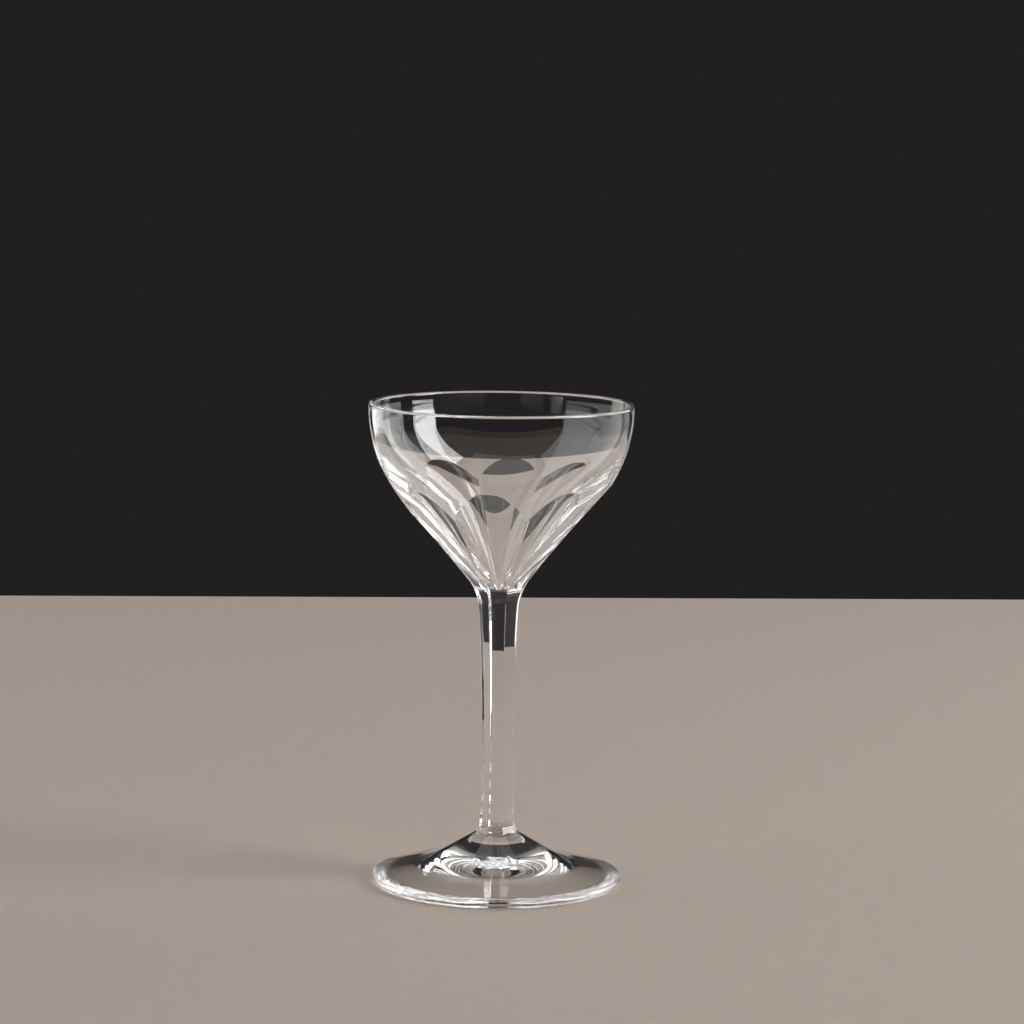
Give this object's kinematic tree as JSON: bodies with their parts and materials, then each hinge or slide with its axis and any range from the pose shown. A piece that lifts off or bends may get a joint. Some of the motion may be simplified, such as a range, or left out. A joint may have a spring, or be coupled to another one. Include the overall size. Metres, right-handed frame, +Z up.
{
  "type": "aperitif glass",
  "caption": "Small stemmed glass for aperitifs: a wide tapering bowl cut with arched flutes, a faceted stem and a round domed foot.",
  "frame": {"origin": "on the axis of the glass, at the level of the surface it stands on", "axes": "+Z up the axis of the glass, from foot to lip; one flute faces -Y and one faces +X"},
  "size_m": [0.065, 0.065, 0.1185],
  "materials": {
    "bowl_crystal": "clear colourless crystal, blown and polished, with polished wheel-cut flutes",
    "stem_crystal": "clear colourless crystal, cut to flat sides and polished",
    "foot_crystal": "clear colourless crystal, fire polished, fine wear on the ring it stands on"
  },
  "bodies": {
    "root": {"bowl": "bowl_crystal", "stem": "stem_crystal", "foot": "foot_crystal"}
  },
  "joints": []
}
